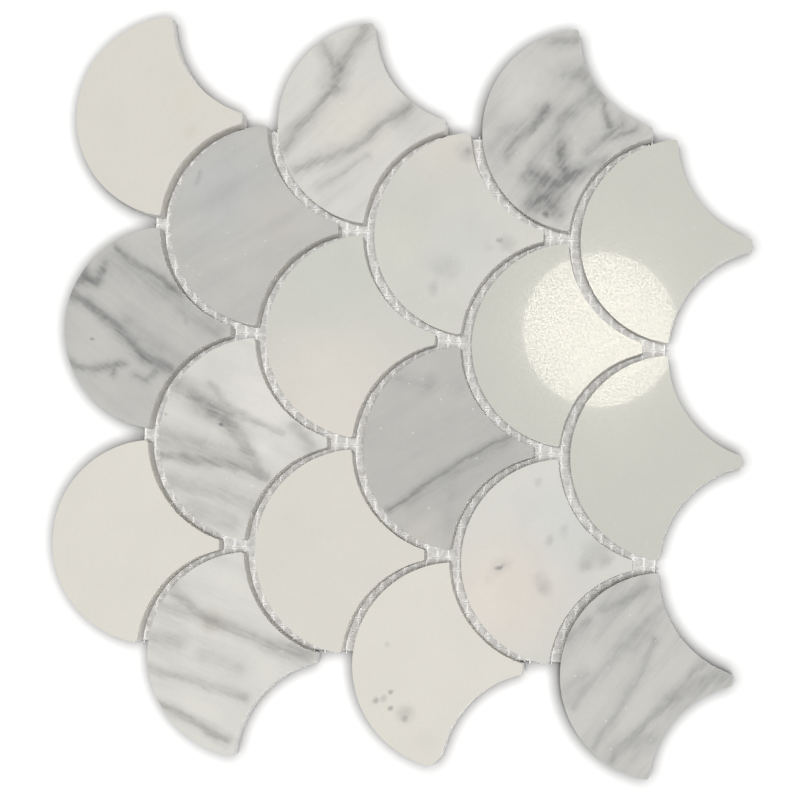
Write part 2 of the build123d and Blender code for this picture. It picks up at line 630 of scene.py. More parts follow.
@dataclass(frozen=True)
class MarbleFinish:
    """The shader of one stone: polished face, ground arris, sawn walls and back.

    Attributes:
        vein_grey: The colour of a full-strength vein.
        glint_paint: The colour painted on bright crystals as glints, as if they caught the light.
        bruise_and_sheen: The whitish colour on the arris: ground marble, and a painted highlight along the
            edge.
        bruise_and_sheen_share: How much of it covers the arris.
        dust: The warm white of saw dust on the walls.
        dust_share: How much of it covers them.
        glue: The colour of the glue on the back.
        glue_share: How much of it covers a smear.
        sawn_and_bounce_lift: How much lighter and warmer the walls are than the polished face, in each
            colour: partly
        the whiter sawn marble, partly painted light standing in for light bounced round the joints.
        polish: Roughness of the polished face.
        pit_rough: What a fine pit adds to that.
        ground: Roughness of the arris.
        sawn: Roughness of the walls and the back.
        face_relief: Depth of the polish's fine waves, in millimetres.
        wall_relief: Depth of the saw's marks, in millimetres.
        glow_tint: How far light gets inside the stone in each colour, as a share of glow_depth.
        glow_depth: How far it gets before it comes out of a wall, in millimetres.
        face_skin: How near to the polished face's height a point of it is, in millimetres.
        arris: Height of the arris, in millimetres.
        brush_spacing: Between the fine strokes that a vein is made of, in millimetres.
        feather: How far those strokes pull a vein's sides about, in millimetres.
        halo: How dark a vein's soft sides are, as a share of its strength.
        heart: What its core adds to that.
        crossing: How much of the weaker vein shows where two cross.
        solid: Share of a vein's or a fleck's width that is fully dark.
        band_stretch: Width of a band as a share of its length.
        sugar: How much the fine grain varies the colour.
        crystal_rate: Crystals for each millimetre.
        crystal_dull: Share of them that don't catch the light.
        crystal_size: Radius of a bright one, as a share of their spacing.
    """

    vein_grey: Colour = (0.200, 0.200, 0.200)
    # Colour of the painted glints.
    glint_paint: Colour = (0.88, 0.88, 0.86)
    # Painted highlight along the arris, on top of the whiter ground marble.
    bruise_and_sheen: Colour = (0.96, 0.955, 0.94)
    bruise_and_sheen_share: float = 0.80
    dust: Colour = (0.93, 0.92, 0.905)
    dust_share: float = 0.55
    glue: Colour = (0.80, 0.79, 0.75)
    glue_share: float = 0.6
    # Partly painted light: this lift stands in for light bounced round the deep joints, on top of the
    # whiter sawn marble.
    sawn_and_bounce_lift: Colour = (1.27, 1.24, 1.22)
    polish: float = 0.018
    pit_rough: float = 0.20
    ground: float = 0.45
    sawn: float = 0.72
    face_relief: float = 0.00006
    wall_relief: float = 0.10
    glow_tint: Colour = (1.0, 0.98, 0.95)
    glow_depth: float = 9.0
    face_skin: float = 0.005
    arris: float = 0.40
    brush_spacing: float = 1.3
    feather: float = 1.6
    halo: float = 0.60
    heart: float = 0.52
    crossing: float = 0.35
    solid: float = 0.12
    band_stretch: float = 0.12
    sugar: float = 0.09
    crystal_rate: float = 0.42
    crystal_dull: float = 0.93
    crystal_size: float = 0.17

    def material(self, name: str, marble: Marble, origin: Vector, thickness: float) -> bpy.types.Material:
        """Makes the stone's material.

        Args:
            name: The stone's name.
            marble: What its marble looks like.
            origin: The head's centre on the stone's underside.
            thickness: The stone's thickness, in millimetres.

        Returns:
            The material.
        """
        graph, material = Graph.of_material(f"{name}_marble")
        place = graph.node("ShaderNodeTexCoord", output="Object")
        local = graph.scaled(graph.vector("SUBTRACT", place, tuple(origin)), 1.0 / MM)
        height = graph.node("ShaderNodeSeparateXYZ", None, {0: local}, "Z")
        on_face = height > thickness - self.face_skin
        above_wall = height > thickness - self.arris - self.face_skin
        on_back = height < self.face_skin
        bedding = graph.vector("MULTIPLY", local, (1.0, 1.0, 0.0))
        ground = self._ground(graph, marble, bedding, origin)
        polished = self._polished(graph, ground, local, on_face, above_wall - on_face)
        sawn = self._sawn(graph, ground, local, on_back)
        surface = graph.node("ShaderNodeMixShader", None, {0: above_wall, 1: sawn, 2: polished})
        graph.node("ShaderNodeOutputMaterial", None, {"Surface": surface})
        return material

    def _polished(self, graph: Graph, ground: Wire, local: Wire, on_face: Wire, on_arris: Wire) -> Wire:
        """Shades the polished face and its ground arris.

        Args:
            graph: The stone's graph.
            ground: The marble's colour.
            local: Millimetres from the head's centre on the underside.
            on_face: 1 on the polished face.
            on_arris: 1 on the arris.

        Returns:
            The shader.
        """
        grain = graph.noise(local, scale=1.5, detail=2.0, rough=0.7)
        pits = graph.ramp(grain, low=0.44, high=0.60)
        gloss = self.polish + pits * self.pit_rough
        # The arris is whitened as ground marble and as a painted highlight along the edge.
        inputs = {
            "Base Color": graph.mix(on_arris * self.bruise_and_sheen_share, ground, self.bruise_and_sheen),
            "Roughness": gloss * on_face + on_arris * self.ground,
            "Normal": graph.bump(grain, self.face_relief * MM),
        }
        return graph.node("ShaderNodeBsdfPrincipled", None, inputs)

    def _sawn(self, graph: Graph, ground: Wire, local: Wire, on_back: Wire) -> Wire:
        """Shades the walls and the back, where the marble was cut.

        Args:
            graph: The stone's graph.
            ground: The marble's colour.
            local: Millimetres from the head's centre on the underside.
            on_back: 1 on the underside.

        Returns:
            The shader.
        """
        upright = graph.vector("MULTIPLY", local, (2.6, 2.6, 0.12))
        combed = graph.noise(upright, scale=1.0, detail=3.0, rough=0.6)
        dirt = graph.noise(local, scale=0.5, detail=4.0, rough=0.65)
        # Lifts the walls' colour: partly whiter sawn marble, partly painted bounce light in the joints.
        cut = graph.vector("MULTIPLY", ground, self.sawn_and_bounce_lift)
        dusty = graph.mix(self.dust_share + (dirt - 0.5) * 0.5, cut, self.dust)
        patches = graph.noise(local, scale=0.22, detail=3.0, rough=0.6)
        smears = graph.ramp(patches, low=0.46, high=0.60) * on_back
        inputs = {
            "Base Color": graph.mix(smears * self.glue_share, dusty, self.glue),
            "Roughness": self.sawn,
            "Normal": graph.bump(combed, self.wall_relief * MM),
            "Subsurface Weight": 1.0,
            "Subsurface Radius": self.glow_tint,
            "Subsurface Scale": self.glow_depth * MM,
        }
        return graph.node("ShaderNodeBsdfPrincipled", None, inputs)

    def _ground(self, graph: Graph, marble: Marble, bedding: Wire, origin: Vector) -> Wire:
        """Colours the marble itself.

        Args:
            graph: The stone's graph.
            marble: What its marble looks like.
            bedding: Millimetres from the head's centre, flattened so that veins run straight down.
            origin: The head's centre, which also gives each stone its own noise.

        Returns:
            The marble's colour.
        """
        seed = (origin.x * 1700.0, origin.y * 1300.0, origin.x * 900.0 + origin.y * 400.0)
        own = graph.vector("ADD", bedding, seed)
        bent = graph.vector("ADD", bedding, self._wander(graph, marble, own))
        clouds = graph.ramp(graph.noise(own, scale=0.05, detail=4.0, rough=0.55), low=0.35, high=0.70)
        dark = clouds * marble.cloud
        uneven = 0.55 + graph.noise(own, scale=0.20, detail=4.0, rough=0.65) * 0.9
        if marble.streaks:
            bands = graph.ramp(self._brushed(graph, marble.streaks, own), low=0.42, high=0.72)
            dark = dark + bands * (2.0 * marble.streaks.amount)
            strokes = self._brushed(graph, replace(marble.streaks, spacing=self.brush_spacing), own)
            uneven = uneven * (0.82 + graph.ramp(strokes, low=0.36, high=0.62) * 0.30)
            across = math.radians(marble.streaks.angle + 90.0)
            aside = (math.cos(across), math.sin(across), 0.0)
            bent = graph.vector("ADD", bent, graph.scaled(aside, (strokes - 0.5) * self.feather))
        veined = self._veined(graph, marble, bent)
        if veined is not None:
            dark = dark + veined * uneven
        for spot in marble.spots:
            dark = dark + self._fleck(graph, bent, spot.at, spot.radius) * uneven * spot.strength
        colour: Any = tuple(channel * marble.shade for channel in marble.tone.value)
        for stain in marble.stains:
            patch = self._fleck(graph, bent, stain.at, stain.radius) * stain.amount
            colour = graph.mix(patch, colour, stain.colour)
        colour = graph.mix(dark.clamped(), colour, self.vein_grey)
        grain = graph.noise(own, scale=1.3, detail=2.0, rough=0.7) - 0.5
        colour = graph.scaled(colour, 1.0 + grain * self.sugar)
        # Painted glints: a few crystals mixed towards white as if they caught the light.
        return graph.mix(self._glints(graph, marble, own), colour, self.glint_paint)

    def _wander(self, graph: Graph, marble: Marble, own: Wire) -> Wire:
        """Works out how far a vein is pushed off its line.

        Args:
            graph: The stone's graph.
            marble: What its marble looks like.
            own: The stone's point with its own offset, in millimetres.

        Returns:
            The shift on the face, in millimetres.
        """
        middle = (0.5, 0.5, 0.5)
        slow = graph.noise(own, scale=0.07, output="Color")
        quick = graph.noise(own, scale=0.34, detail=3.0, rough=0.6, output="Color")
        far = graph.scaled(graph.vector("SUBTRACT", slow, middle), 1.6 * marble.waver)
        near = graph.scaled(graph.vector("SUBTRACT", quick, middle), 0.7 * marble.waver)
        return graph.vector("MULTIPLY", graph.vector("ADD", far, near), (1.0, 1.0, 0.0))

    def _brushed(self, graph: Graph, streaks: Streaks, own: Wire) -> Wire:
        """Draws noise out into parallel bands.

        Args:
            graph: The stone's graph.
            streaks: The bands.
            own: The stone's point with its own offset, in millimetres.

        Returns:
            The noise, about 0.5.
        """
        turn = {"Vector": own, "Rotation": (0.0, 0.0, math.radians(streaks.angle))}
        turned = graph.node("ShaderNodeMapping", {"vector_type": "TEXTURE"}, turn)
        rate = 1.0 / streaks.spacing
        drawn = graph.vector("MULTIPLY", turned, (self.band_stretch * rate, rate, 1.0))
        return graph.noise(drawn, scale=1.0, detail=4.0, rough=0.6)

    def _veined(self, graph: Graph, marble: Marble, bent: Wire) -> Optional[Wire]:
        """Draws all the veins of a stone.

        Args:
            graph: The stone's graph.
            marble: What its marble looks like.
            bent: The point, pushed about, in millimetres.

        Returns:
            How dark they are, or None where the stone has none.
        """
        veined: Optional[Wire] = None
        for vein in marble.veins:
            gap = self._line_distance(graph, bent, vein.points)
            soft = self._fade(graph, gap, vein.width) * self.halo
            core = self._fade(graph, gap, vein.width * marble.core) * self.heart
            grey = (soft + core) * vein.strength
            veined = grey if veined is None else veined.most(grey) + veined.least(grey) * self.crossing
        return veined

    def _line_distance(self, graph: Graph, at: Wire, points: Sequence[Point]) -> Wire:
        """Measures how far a point is from a broken line.

        Args:
            graph: The stone's graph.
            at: The point, in millimetres.
            points: The line's corners.

        Returns:
            The distance in millimetres.
        """
        nearest: Optional[Wire] = None
        for start, end in zip(points, points[1:]):
            run = Vector((end[0] - start[0], end[1] - start[1], 0.0))
            offset = graph.vector("SUBTRACT", at, (*start, 0.0))
            share = graph.vector("DOT_PRODUCT", offset, tuple(run / run.length_squared), "Value").clamped()
            gap = graph.vector("DISTANCE", offset, graph.scaled(tuple(run), share), "Value")
            nearest = gap if nearest is None else nearest.least(gap)
        return nearest

    def _fleck(self, graph: Graph, bent: Wire, at: Point, radius: float) -> Wire:
        """1 in the middle of a round patch, easing to 0 at its radius."""
        return self._fade(graph, graph.vector("DISTANCE", bent, (*at, 0.0), "Value"), radius)

    def _fade(self, graph: Graph, gap: Wire, width: float) -> Wire:
        """1 on a line or in a patch's middle, easing to 0 at its width."""
        return graph.ramp(gap, low=width, high=self.solid * width)

    def _glints(self, graph: Graph, marble: Marble, own: Wire) -> Wire:
        """Picks a few crystals to paint as glints, as if they caught the light.

        Args:
            graph: The stone's graph.
            marble: What its marble looks like.
            own: The stone's point with its own offset, in millimetres.

        Returns:
            How bright the painted glints are, and 0 elsewhere.
        """
        cells = {"Vector": own, "Scale": self.crystal_rate}
        near = graph.node("ShaderNodeTexVoronoi", {"feature": "F1"}, cells, "Distance")
        pick = graph.node("ShaderNodeTexVoronoi", {"feature": "F1"}, cells, "Color")
        chosen = graph.node("ShaderNodeSeparateColor", None, {0: pick}, "Red") > self.crystal_dull
        return chosen * (near < self.crystal_size) * (0.5 * marble.glitter)


@dataclass(frozen=True)
class NetFinish:
    """Glass-fibre yarn set in white resin.

    Attributes:
        resin: The resin's colour.
        shadow: The slightly darker colour between the fibres.
        rough: Its roughness.
        relief: How far the fibres stand out, in millimetres.
    """

    resin: Colour = (0.98, 0.975, 0.96)
    shadow: Colour = (0.88, 0.875, 0.86)
    rough: float = 0.38
    relief: float = 0.006

    def material(self, name: str, along: Vector) -> bpy.types.Material:
        """Makes the yarn's material.

        Args:
            name: The material's name.
            along: The way the yarns run, which the fibres follow.

        Returns:
            The material.
        """
        graph, material = Graph.of_material(name)
        place = graph.place_mm()
        fibre_scale = tuple(0.5 if axis else 4.0 for axis in along)
        fibres = graph.noise(graph.vector("MULTIPLY", place, fibre_scale), scale=1.0, detail=3.0, rough=0.6)
        blotch = graph.noise(place, scale=0.35, detail=3.0, rough=0.6)
        colour = graph.mix(graph.ramp(fibres, low=0.30, high=0.62), self.shadow, self.resin)
        colour = graph.scaled(colour, 0.92 + blotch * 0.16)
        rough = self.rough + blotch * 0.2
        relief = graph.bump(fibres, self.relief * MM)
        graph.principled({"Base Color": colour, "Roughness": rough, "Normal": relief})
        return material


@dataclass(frozen=True)
class FilmFinish:
    """The thin milky film that the glue leaves in the meshes, its grey partly painted shade of the joints.

    Attributes:
        milk: Its colour in the middle of a mesh, grey partly as painted shade of the deep joints.
        rim: Its colour round the mesh, where it is thicker and carries a painted highlight of its meniscus.
        pitch: Between two yarns, in millimetres.
        flat: Half the width of the part with no rim, as a share of the pitch.
        rough: Its roughness.
        thin: How much of it covers where it is thinnest, from 0 to 1.
        relief: Depth of its ripples, in millimetres.
    """

    # Grey partly the glue film's own and partly painted shade of the deep joints.
    milk: Colour = (0.69, 0.682, 0.667)
    # Painted highlight of the meniscus round each mesh, on top of the thicker resin.
    rim: Colour = (0.98, 0.975, 0.96)
    pitch: float = 4.0
    flat: float = 0.20
    rough: float = 0.35
    thin: float = 0.75
    relief: float = 0.008

    def material(self, name: str) -> bpy.types.Material:
        """Makes the film's material.

        Args:
            name: The material's name.

        Returns:
            The material.
        """
        graph, material = Graph.of_material(name)
        place = graph.place_mm()
        mottle = graph.noise(place, scale=0.55, detail=4.0, rough=0.6)
        cover = self.thin + graph.ramp(mottle, low=0.3, high=0.7) * (1.0 - self.thin)
        # Rims: thicker resin with a painted highlight; middles: grey, partly painted shade.
        colour = graph.mix(self._rim_sheen(graph, place), self.milk, self.rim)
        colour = graph.scaled(colour, 0.97 + mottle * 0.06)
        relief = graph.bump(mottle, self.relief * MM)
        graph.principled({"Base Color": colour, "Roughness": self.rough, "Normal": relief, "Alpha": cover})
        return material

    def _rim_sheen(self, graph: Graph, place: Wire) -> Wire:
        """Marks the rims of the meshes for a painted highlight; they leave a rounded square in each middle.

        Args:
            graph: The film's graph.
            place: The point, in millimetres.

        Returns:
            1 on a rim, 0 in a middle.
        """
        none = (0.0, 0.0, 0.0)
        cell = graph.vector("FRACTION", graph.scaled(place, 1.0 / self.pitch), none)
        away = graph.vector("ABSOLUTE", graph.vector("SUBTRACT", cell, (0.5, 0.5, 0.5)), none)
        past = graph.vector("MAXIMUM", graph.vector("SUBTRACT", away, (self.flat, self.flat, 1.0)), none)
        return graph.ramp(graph.vector("LENGTH", past, none, "Value"), low=0.15, high=0.24)


@dataclass(frozen=True)
class GlueFinish:
    """Dried white glue.

    Attributes:
        milk: Its colour where it is thick.
        thin: Its colour where it is thin.
        rough: Its roughness.
        relief: Depth of its lumps, in millimetres.
    """

    milk: Colour = (0.95, 0.945, 0.93)
    thin: Colour = (0.80, 0.79, 0.76)
    rough: float = 0.32
    relief: float = 0.05

    def material(self, name: str) -> bpy.types.Material:
        """Makes the glue's material.

        Args:
            name: The material's name.

        Returns:
            The material.
        """
        graph, material = Graph.of_material(name)
        place = graph.place_mm()
        lumps = graph.noise(place, scale=0.9, detail=4.0, rough=0.6)
        colour = graph.scaled(graph.mix(lumps, self.milk, self.thin), 1.0 + (lumps - 0.5) * 0.1)
        rough = self.rough + lumps * 0.25
        relief = graph.bump(lumps, self.relief * MM)
        graph.principled({"Base Color": colour, "Roughness": rough, "Normal": relief})
        return material


def only(kind: type, geometry: Iterable[Any]) -> list[Any]:
    """Picks one kind of element, such as the vertices, out of what an operator returns."""
    return [item for item in geometry if isinstance(item, kind)]


def bevelled(
    shape: bmesh.types.BMesh, geom: Sequence[Any], size: float, affect: str, segments: int
) -> None:
    """Bevels edges or vertices with a round profile.

    Args:
        shape: The mesh that they are in.
        geom: The edges or vertices.
        size: How far back the bevel goes.
        affect: EDGES or VERTICES.
        segments: Facets across the bevel.
    """
    bmesh.ops.bevel(
        shape, geom=geom, offset=size, offset_type="OFFSET", affect=affect,
        segments=segments, profile=0.5, material=-1, clamp_overlap=True,
    )


def smoothed(shape: bmesh.types.BMesh) -> bmesh.types.BMesh:
    """Turns all the faces outwards and shades them smooth.

    Args:
        shape: The mesh.

    Returns:
        The same mesh.
    """
    bmesh.ops.recalc_face_normals(shape, faces=shape.faces)
    for face in shape.faces:
        face.smooth = True
    return shape


def finished_piece(
    name: str, mesh: bmesh.types.BMesh, material: bpy.types.Material, nodes: Iterable[str] = ()
) -> bpy.types.Object:
    """Turns a bmesh into a piece that rides on the sheet.

    Args:
        name: The piece's name.
        mesh: Its shape, in the sheet's frame. It is freed.
        material: Its material.
        nodes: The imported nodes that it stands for.

    Returns:
        The piece.
    """
    data = bpy.data.meshes.new(name)
    mesh.to_mesh(data)
    mesh.free()
    data.materials.append(material)
    piece = bpy.data.objects.new(name, data)
    bpy.context.scene.collection.objects.link(piece)
    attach(piece, BODY)
    if nodes:
        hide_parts(*nodes)
    LOG.info("%s: %d faces", name, len(data.polygons))
    return piece


@dataclass
class FanStone:
    """One fan: a round head, two coves and a blunt tail, sawn from a polished slab.

    Attributes:
        origin: The head's centre on the stone's underside.
        top: Height of the polished face.
        tail_reach: From the head's centre to the end of the tail.
        row_pitch: Between two stones of a column.
        head_radius: Radius of the head.
        cove_joint: What a cove's radius has over the head's.
        cove_reach: From the head's centre along to the centres of its coves.
        arris: Width of the ground edge.
        horn_round: How far back the tips of the horns are rounded.
        tail_round: How far back the corners of the tail are rounded.
        sharp: Turn of the outline from which a corner is rounded, in degrees.
        step: Length of the facets round the outline.
        wear: How far the ground edge wanders.
        wear_length: How long its swings are.
        wear_layer: Layer of the noise that they are read from.
        nick_rate: How often nicks come, as a share of how often it swings.
        nick_layer: Layer of the noise that the nicks are read from.
        nick_level: How high that noise is before there is a nick.
        nick_depth: How fast a nick deepens from there.
        rim_wear: Shares of the swings and the nicks at the polished rim.
        bevel_wear: The same in the middle of the ground edge.
        foot_wear: The same at its lower side.
        horn_clip: What is missing from the lower horn, along each side.
    """

    origin: Vector
    top: float
    tail_reach: float
    row_pitch: float
    head_radius: float = 37.6 * MM
    cove_joint: float = 1.5 * MM
    cove_reach: float = 35.25 * MM
    arris: float = 0.40 * MM
    horn_round: float = 1.2 * MM
    tail_round: float = 0.5 * MM
    sharp: float = 25.0
    step: float = 1.1 * MM
    wear: float = 0.16 * MM
    wear_length: float = 2.4 * MM
    wear_layer: float = 1.7
    nick_rate: float = 0.45
    nick_layer: float = 9.1
    nick_level: float = 0.42
    nick_depth: float = 3.0
    rim_wear: Pair = (0.4, 1.2)
    bevel_wear: Pair = (0.5, 0.5)
    foot_wear: Pair = (0.6, 1.5)
    horn_clip: float = 0.0

    def horn(self) -> Vector:
        """Where the head's arc meets the upper cove's, from the head's centre."""
        cove_radius = self.head_radius + self.cove_joint
        centre = Vector((self.cove_reach, self.row_pitch / 2, 0.0))
        reach = (self.head_radius**2 - cove_radius**2 + centre.length_squared) / (2 * centre.length)
        side = math.sqrt(self.head_radius**2 - reach**2)
        along = centre.normalized()
        return along * reach + Vector((-along.y, along.x, 0.0)) * side

    def mesh(self) -> bmesh.types.BMesh:
        """Models the stone.

        Returns:
            Its shape, in the sheet's frame.
        """
        shape = bmesh.new()
        self._outline(shape)
        face = bmesh.ops.contextual_create(shape, geom=shape.edges[:])["faces"][0]
        if face.normal.z > 0:
            face.normal_flip()
        raised = bmesh.ops.extrude_face_region(shape, geom=[face])["geom"]
        lifted = only(bmesh.types.BMVert, raised)
        bmesh.ops.translate(shape, vec=(0.0, 0.0, self.top - self.origin.z), verts=lifted)
        if self.horn_clip:
            self._clip(shape)
        self._corners(shape)
        self._grind(shape)
        bmesh.ops.translate(shape, vec=self.origin, verts=shape.verts)
        bmesh.ops.recalc_face_normals(shape, faces=shape.faces)
        return shape

    def _outline(self, shape: bmesh.types.BMesh) -> None:
        """Draws the outline: the head from horn to horn, a cove from each horn, and the tail's end.

        Args:
            shape: The mesh to draw in.
        """
        horn = self.horn()
        upper = shape.verts.new(horn)
        sweep = 2.0 * (math.pi - math.atan2(horn.y, horn.x))
        lower = self._arc(shape, upper, Vector((0.0, 0.0, 0.0)), self.head_radius, sweep)
        tails = [self._cove(shape, upper, 1.0), self._cove(shape, lower, -1.0)]
        bmesh.ops.contextual_create(shape, geom=tails)

    def _arc(
        self,
        shape: bmesh.types.BMesh,
        start: bmesh.types.BMVert,
        centre: Vector,
        radius: float,
        sweep: float,
    ) -> bmesh.types.BMVert:
        """Draws an arc from a vertex.

        Args:
            shape: The mesh to draw in.
            start: The vertex.
            centre: The arc's centre.
            radius: Its radius.
            sweep: How far it turns, in radians.

        Returns:
            The vertex at its end.
        """
        steps = round(abs(sweep) * radius / self.step)
        up = (0.0, 0.0, 1.0)
        drawn = bmesh.ops.spin(shape, geom=[start], cent=centre, axis=up, angle=sweep, steps=steps)
        return only(bmesh.types.BMVert, drawn["geom_last"])[0]

    def _cove(self, shape: bmesh.types.BMesh, horn: bmesh.types.BMVert, side: float) -> bmesh.types.BMVert:
        """Draws a cove from a horn to the tail.

        Args:
            shape: The mesh to draw in.
            horn: The horn's vertex.
            side: 1 for the upper cove, -1 for the lower.

        Returns:
            The tail's corner.
        """
        radius = self.head_radius + self.cove_joint
        centre = Vector((self.cove_reach, side * self.row_pitch / 2, 0.0))
        drop = self.cove_reach - self.tail_reach
        corner = Vector((-drop, -side * math.sqrt(radius**2 - drop**2), 0.0))
        return self._arc(shape, horn, centre, radius, side * (horn.co - centre).angle(corner))

    def _clip(self, shape: bmesh.types.BMesh) -> None:
        """Takes the tip off the lower horn.

        Args:
            shape: The stone's mesh.
        """
        horn = self.horn()
        tip = Vector((horn.x, -horn.y, 0.0))
        outward = Vector((1.0, -1.0, 0.0)).normalized()
        cut = tip - outward * (self.horn_clip / math.sqrt(2.0))
        everything = shape.verts[:] + shape.edges[:] + shape.faces[:]
        found = bmesh.ops.bisect_plane(
            shape, geom=everything, plane_co=cut, plane_no=outward, clear_outer=True, dist=HAIR
        )
        rim = only(bmesh.types.BMEdge, found["geom_cut"])
        bmesh.ops.holes_fill(shape, edges=rim, sides=0)

    def _corners(self, shape: bmesh.types.BMesh) -> None:
        """Rounds the upright corners at the horns and the tail.

        Args:
            shape: The stone's mesh.
        """
        upright = [edge for edge in shape.edges if self._is_corner(edge)]
        half_width = self.head_radius / 2
        horns = [edge for edge in upright if abs(edge.verts[0].co.y) > half_width]
        tails = [edge for edge in upright if abs(edge.verts[0].co.y) < half_width]
        bevelled(shape, horns, self.horn_round, affect="EDGES", segments=3)
        bevelled(shape, tails, self.tail_round, affect="EDGES", segments=3)

    def _is_corner(self, edge: bmesh.types.BMEdge) -> bool:
        """Whether an edge stands upright where the outline turns sharply."""
        height = abs(edge.verts[0].co.z - edge.verts[1].co.z)
        return height > self.arris and edge.calc_face_angle(0.0) > math.radians(self.sharp)

    def _grind(self, shape: bmesh.types.BMesh) -> None:
        """Grinds a narrow, slightly uneven arris round the polished face.

        Args:
            shape: The stone's mesh.
        """
        crown = max(shape.faces, key=lambda face: face.calc_center_median().z)
        level = crown.calc_center_median().z
        bevelled(shape, list(crown.edges), self.arris, affect="EDGES", segments=2)
        for vert in shape.verts:
            depth = level - vert.co.z
            if -HAIR <= depth <= self.arris + HAIR:
                self._wear_vertex(vert, depth)

    def _wear_vertex(self, vert: bmesh.types.BMVert, depth: float) -> None:
        """Moves a vertex of the arris a little, inwards or down.

        Args:
            vert: The vertex.
            depth: How far it is under the polished face.
        """
        at = (vert.co + self.origin) / self.wear_length
        swing = noise.noise(Vector((at.x, at.y, self.wear_layer)))
        chip = noise.noise(Vector((at.x * self.nick_rate, at.y * self.nick_rate, self.nick_layer)))
        nick = max(0.0, chip - self.nick_level) * self.nick_depth
        if depth < HAIR:
            inward = -Vector((vert.normal.x, vert.normal.y, 0.0)).normalized()
            vert.co += inward * self.wear * (self.rim_wear[0] * swing + self.rim_wear[1] * nick)
            return
        swung, nicked = self.bevel_wear if depth < self.arris - HAIR else self.foot_wear
        vert.co.z -= self.wear * (swung * abs(swing) + nicked * nick)


@dataclass
class StoneField:
    """All the stones of the sheet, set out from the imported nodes.

    Attributes:
        finish: How they are finished.
        clipped: The stone that has lost the tip of a horn.
        horn_clip: How much of it is missing along each side.
    """

    finish: MarbleFinish
    clipped: str = "fan_d3"
    horn_clip: float = 3.6 * MM

    def build(self) -> list[FanStone]:
        """Models and dresses every stone.

        Returns:
            The stones.
        """
        first_low, first_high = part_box("fan_a1")
        second_low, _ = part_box("fan_a2")
        row_pitch = first_low.y - second_low.y
        first_y = (first_low.y + first_high.y) / 2
        stones = []
        for name, marble in STONES.items():
            low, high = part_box(name)
            column, row = ord(name[-2]) - ord("a"), int(name[-1]) - 1
            y = first_y - (row + column % 2 / 2) * row_pitch
            origin = Vector((low.x + FanStone.head_radius, y, low.z))
            clip = self.horn_clip if name == self.clipped else 0.0
            stone = FanStone(origin, high.z, high.x - origin.x, row_pitch, horn_clip=clip)
            material = self.finish.material(name, marble, origin, (high.z - low.z) / MM)
            finished_piece(f"{name}_stone", stone.mesh(), material, [name])
            stones.append(stone)
        return stones


